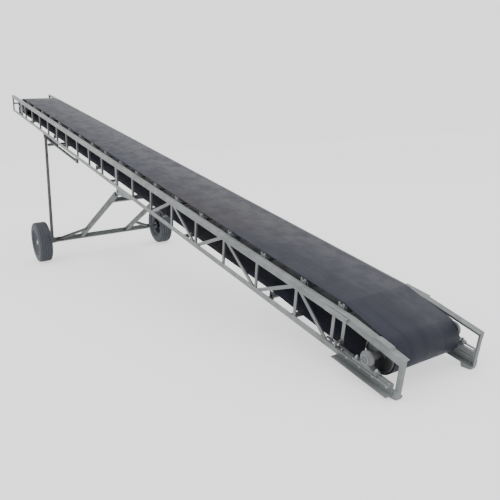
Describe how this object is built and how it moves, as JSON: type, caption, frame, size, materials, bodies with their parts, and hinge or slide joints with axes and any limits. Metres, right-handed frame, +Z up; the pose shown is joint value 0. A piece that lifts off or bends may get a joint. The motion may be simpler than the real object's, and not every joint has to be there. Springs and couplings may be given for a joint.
{
  "type": "mobile belt conveyor",
  "caption": "Wheeled truss-frame belt conveyor with flat belt, idler rollers, head drum, tail take-up and a hinged A-leg undercarriage that sets its slope.",
  "frame": {"origin": "centre of the bounding box on the ground", "axes": "+X along the conveyor towards the tail (loading) end, +Y across to its right-hand side when facing the head, +Z up"},
  "size_m": [9.7894, 1.98, 2.5961],
  "materials": {
    "frame_paint": "silver-grey gloss paint on rolled steel sections",
    "chassis_paint": "dark grey paint on welded tube",
    "belt": "smooth slate-grey rubber cover",
    "tyre": "black pneumatic tyre with shallow tread",
    "roller_steel": "turned steel tube",
    "bright_steel": "machined steel",
    "housing_paint": "painted cast iron"
  },
  "bodies": {
    "root": {"conveyor_belt": "belt", "head_end_crossbar": "frame_paint", "head_drum_shaft": "bright_steel", "cross_member_1": "frame_paint", "cross_member_2": "frame_paint", "cross_member_3": "frame_paint", "cross_member_4": "frame_paint", "cross_member_5": "frame_paint", "left_truss_tail": "frame_paint", "left_truss_head": "frame_paint", "left_head_shaft_plate": "frame_paint", "left_takeup_rail": "frame_paint", "left_hinge_pin": "bright_steel", "left_guide_rail": "chassis_paint", "right_truss_tail": "frame_paint", "right_truss_head": "frame_paint", "right_head_shaft_plate": "frame_paint", "right_takeup_rail": "frame_paint", "right_hinge_pin": "bright_steel", "right_guide_rail": "chassis_paint"},
    "head_drum": {"head_drum": "bright_steel"},
    "tail_carriage": {"left_tail_bearing": "housing_paint", "right_tail_bearing": "housing_paint"},
    "tail_pulley": {"tail_pulley": "bright_steel"},
    "left_takeup_screw": {"left_takeup_screw": "bright_steel"},
    "right_takeup_screw": {"right_takeup_screw": "bright_steel"},
    "leg_frame": {"left_leg": "chassis_paint", "right_leg": "chassis_paint", "leg_cross_tube": "chassis_paint", "wheel_axle": "chassis_paint"},
    "strut_frame": {"left_lift_strut": "chassis_paint", "right_track_arm": "chassis_paint", "strut_cross_tube": "chassis_paint"},
    "left_wheel": {"left_wheel_rim": "chassis_paint", "left_tyre": "tyre"},
    "right_wheel": {"right_wheel_rim": "chassis_paint", "right_tyre": "tyre"},
    "carrying_roller_01": {"carrying_roller_01": "roller_steel"},
    "carrying_roller_02": {"carrying_roller_02": "roller_steel"},
    "carrying_roller_03": {"carrying_roller_03": "roller_steel"},
    "carrying_roller_04": {"carrying_roller_04": "roller_steel"},
    "carrying_roller_05": {"carrying_roller_05": "roller_steel"},
    "carrying_roller_06": {"carrying_roller_06": "roller_steel"},
    "carrying_roller_07": {"carrying_roller_07": "roller_steel"},
    "carrying_roller_08": {"carrying_roller_08": "roller_steel"},
    "carrying_roller_09": {"carrying_roller_09": "roller_steel"},
    "carrying_roller_10": {"carrying_roller_10": "roller_steel"},
    "carrying_roller_11": {"carrying_roller_11": "roller_steel"},
    "carrying_roller_12": {"carrying_roller_12": "roller_steel"},
    "carrying_roller_13": {"carrying_roller_13": "roller_steel"},
    "carrying_roller_14": {"carrying_roller_14": "roller_steel"},
    "carrying_roller_15": {"carrying_roller_15": "roller_steel"},
    "carrying_roller_16": {"carrying_roller_16": "roller_steel"},
    "carrying_roller_17": {"carrying_roller_17": "roller_steel"},
    "carrying_roller_18": {"carrying_roller_18": "roller_steel"},
    "return_roller_1": {"return_roller_1": "roller_steel"},
    "return_roller_2": {"return_roller_2": "roller_steel"},
    "return_roller_3": {"return_roller_3": "roller_steel"},
    "return_roller_4": {"return_roller_4": "roller_steel"}
  },
  "joints": [
    {"name": "head_drum_spin", "type": "hinge", "parent": "root", "child": "head_drum", "pos_m": [-4.30065, 0, 2.34897], "axis": [0, 1, 0], "continuous": true},
    {"name": "carrying_roller_01_spin", "type": "hinge", "parent": "root", "child": "carrying_roller_01", "pos_m": [4.31728, 0, 0.42234], "axis": [0, 1, 0], "continuous": true},
    {"name": "carrying_roller_02_spin", "type": "hinge", "parent": "root", "child": "carrying_roller_02", "pos_m": [3.92801, 0, 0.51436], "axis": [0, 1, 0], "continuous": true},
    {"name": "carrying_roller_03_spin", "type": "hinge", "parent": "root", "child": "carrying_roller_03", "pos_m": [3.44142, 0, 0.62939], "axis": [0, 1, 0], "continuous": true},
    {"name": "carrying_roller_04_spin", "type": "hinge", "parent": "root", "child": "carrying_roller_04", "pos_m": [2.95483, 0, 0.74441], "axis": [0, 1, 0], "continuous": true},
    {"name": "carrying_roller_05_spin", "type": "hinge", "parent": "root", "child": "carrying_roller_05", "pos_m": [2.46824, 0, 0.85944], "axis": [0, 1, 0], "continuous": true},
    {"name": "carrying_roller_06_spin", "type": "hinge", "parent": "root", "child": "carrying_roller_06", "pos_m": [1.98165, 0, 0.97446], "axis": [0, 1, 0], "continuous": true},
    {"name": "carrying_roller_07_spin", "type": "hinge", "parent": "root", "child": "carrying_roller_07", "pos_m": [1.49506, 0, 1.08949], "axis": [0, 1, 0], "continuous": true},
    {"name": "carrying_roller_08_spin", "type": "hinge", "parent": "root", "child": "carrying_roller_08", "pos_m": [1.00847, 0, 1.20451], "axis": [0, 1, 0], "continuous": true},
    {"name": "carrying_roller_09_spin", "type": "hinge", "parent": "root", "child": "carrying_roller_09", "pos_m": [0.52188, 0, 1.31954], "axis": [0, 1, 0], "continuous": true},
    {"name": "carrying_roller_10_spin", "type": "hinge", "parent": "root", "child": "carrying_roller_10", "pos_m": [0.03529, 0, 1.43456], "axis": [0, 1, 0], "continuous": true},
    {"name": "carrying_roller_11_spin", "type": "hinge", "parent": "root", "child": "carrying_roller_11", "pos_m": [-0.4513, 0, 1.54959], "axis": [0, 1, 0], "continuous": true},
    {"name": "carrying_roller_12_spin", "type": "hinge", "parent": "root", "child": "carrying_roller_12", "pos_m": [-0.93789, 0, 1.66461], "axis": [0, 1, 0], "continuous": true},
    {"name": "carrying_roller_13_spin", "type": "hinge", "parent": "root", "child": "carrying_roller_13", "pos_m": [-1.42448, 0, 1.77964], "axis": [0, 1, 0], "continuous": true},
    {"name": "carrying_roller_14_spin", "type": "hinge", "parent": "root", "child": "carrying_roller_14", "pos_m": [-1.91107, 0, 1.89466], "axis": [0, 1, 0], "continuous": true},
    {"name": "carrying_roller_15_spin", "type": "hinge", "parent": "root", "child": "carrying_roller_15", "pos_m": [-2.39766, 0, 2.00969], "axis": [0, 1, 0], "continuous": true},
    {"name": "carrying_roller_16_spin", "type": "hinge", "parent": "root", "child": "carrying_roller_16", "pos_m": [-2.88425, 0, 2.12471], "axis": [0, 1, 0], "continuous": true},
    {"name": "carrying_roller_17_spin", "type": "hinge", "parent": "root", "child": "carrying_roller_17", "pos_m": [-3.37084, 0, 2.23974], "axis": [0, 1, 0], "continuous": true},
    {"name": "carrying_roller_18_spin", "type": "hinge", "parent": "root", "child": "carrying_roller_18", "pos_m": [-3.85743, 0, 2.35476], "axis": [0, 1, 0], "continuous": true},
    {"name": "return_roller_1_spin", "type": "hinge", "parent": "root", "child": "return_roller_1", "pos_m": [3.52979, 0, 0.3512], "axis": [0, 1, 0], "continuous": true},
    {"name": "return_roller_2_spin", "type": "hinge", "parent": "root", "child": "return_roller_2", "pos_m": [1.58343, 0, 0.81129], "axis": [0, 1, 0], "continuous": true},
    {"name": "return_roller_3_spin", "type": "hinge", "parent": "root", "child": "return_roller_3", "pos_m": [-0.36293, 0, 1.2714], "axis": [0, 1, 0], "continuous": true},
    {"name": "return_roller_4_spin", "type": "hinge", "parent": "root", "child": "return_roller_4", "pos_m": [-2.30929, 0, 1.73149], "axis": [0, 1, 0], "continuous": true},
    {"name": "takeup_slide", "type": "slide", "parent": "root", "child": "tail_carriage", "axis": [-0.9732, 0, 0.23], "range_m": [0, 0.01]},
    {"name": "tail_pulley_spin", "type": "hinge", "parent": "tail_carriage", "child": "tail_pulley", "pos_m": [4.63916, 0, 0.20609], "axis": [0, 1, 0], "continuous": true},
    {"name": "left_takeup_screw_turn", "type": "hinge", "parent": "tail_carriage", "child": "left_takeup_screw", "pos_m": [4.52686, -0.385, 0.18743], "axis": [-0.9732, 0, 0.23], "range_deg": [0, 1441]},
    {"name": "right_takeup_screw_turn", "type": "hinge", "parent": "tail_carriage", "child": "right_takeup_screw", "pos_m": [4.52686, 0.385, 0.18743], "axis": [-0.9732, 0, 0.23], "range_deg": [0, 1441]},
    {"name": "leg_hinge", "type": "hinge", "parent": "root", "child": "leg_frame", "pos_m": [0.48871, 0, 1.00534], "axis": [0, -1, 0], "range_deg": [0, 28]},
    {"name": "strut_hinge", "type": "hinge", "parent": "leg_frame", "child": "strut_frame", "pos_m": [-1.31699, 0, 0.27824], "axis": [0, -1, 0], "range_deg": [-56, 0]},
    {"name": "left_wheel_spin", "type": "hinge", "parent": "leg_frame", "child": "left_wheel", "pos_m": [-1.31699, -0.9, 0.27824], "axis": [0, 1, 0], "continuous": true},
    {"name": "right_wheel_spin", "type": "hinge", "parent": "leg_frame", "child": "right_wheel", "pos_m": [-1.31699, 0.9, 0.27824], "axis": [0, 1, 0], "continuous": true}
  ],
  "couplings": [
    {"joint": "carrying_roller_01_spin", "follows": "head_drum_spin", "ratio": 3.2895},
    {"joint": "carrying_roller_02_spin", "follows": "head_drum_spin", "ratio": 3.2895},
    {"joint": "carrying_roller_03_spin", "follows": "head_drum_spin", "ratio": 3.2895},
    {"joint": "carrying_roller_04_spin", "follows": "head_drum_spin", "ratio": 3.2895},
    {"joint": "carrying_roller_05_spin", "follows": "head_drum_spin", "ratio": 3.2895},
    {"joint": "carrying_roller_06_spin", "follows": "head_drum_spin", "ratio": 3.2895},
    {"joint": "carrying_roller_07_spin", "follows": "head_drum_spin", "ratio": 3.2895},
    {"joint": "carrying_roller_08_spin", "follows": "head_drum_spin", "ratio": 3.2895},
    {"joint": "carrying_roller_09_spin", "follows": "head_drum_spin", "ratio": 3.2895},
    {"joint": "carrying_roller_10_spin", "follows": "head_drum_spin", "ratio": 3.2895},
    {"joint": "carrying_roller_11_spin", "follows": "head_drum_spin", "ratio": 3.2895},
    {"joint": "carrying_roller_12_spin", "follows": "head_drum_spin", "ratio": 3.2895},
    {"joint": "carrying_roller_13_spin", "follows": "head_drum_spin", "ratio": 3.2895},
    {"joint": "carrying_roller_14_spin", "follows": "head_drum_spin", "ratio": 3.2895},
    {"joint": "carrying_roller_15_spin", "follows": "head_drum_spin", "ratio": 3.2895},
    {"joint": "carrying_roller_16_spin", "follows": "head_drum_spin", "ratio": 3.2895},
    {"joint": "carrying_roller_17_spin", "follows": "head_drum_spin", "ratio": 3.2895},
    {"joint": "carrying_roller_18_spin", "follows": "head_drum_spin", "ratio": 3.2895},
    {"joint": "return_roller_1_spin", "follows": "head_drum_spin", "ratio": -5},
    {"joint": "return_roller_2_spin", "follows": "head_drum_spin", "ratio": -5},
    {"joint": "return_roller_3_spin", "follows": "head_drum_spin", "ratio": -5},
    {"joint": "return_roller_4_spin", "follows": "head_drum_spin", "ratio": -5},
    {"joint": "tail_pulley_spin", "follows": "head_drum_spin", "ratio": 1.0593},
    {"joint": "left_takeup_screw_turn", "follows": "takeup_slide", "rad_per_m": 2513.3},
    {"joint": "right_takeup_screw_turn", "follows": "takeup_slide", "rad_per_m": 2513.3},
    {"joint": "strut_hinge", "follows": "leg_hinge", "ratio": -2}
  ]
}
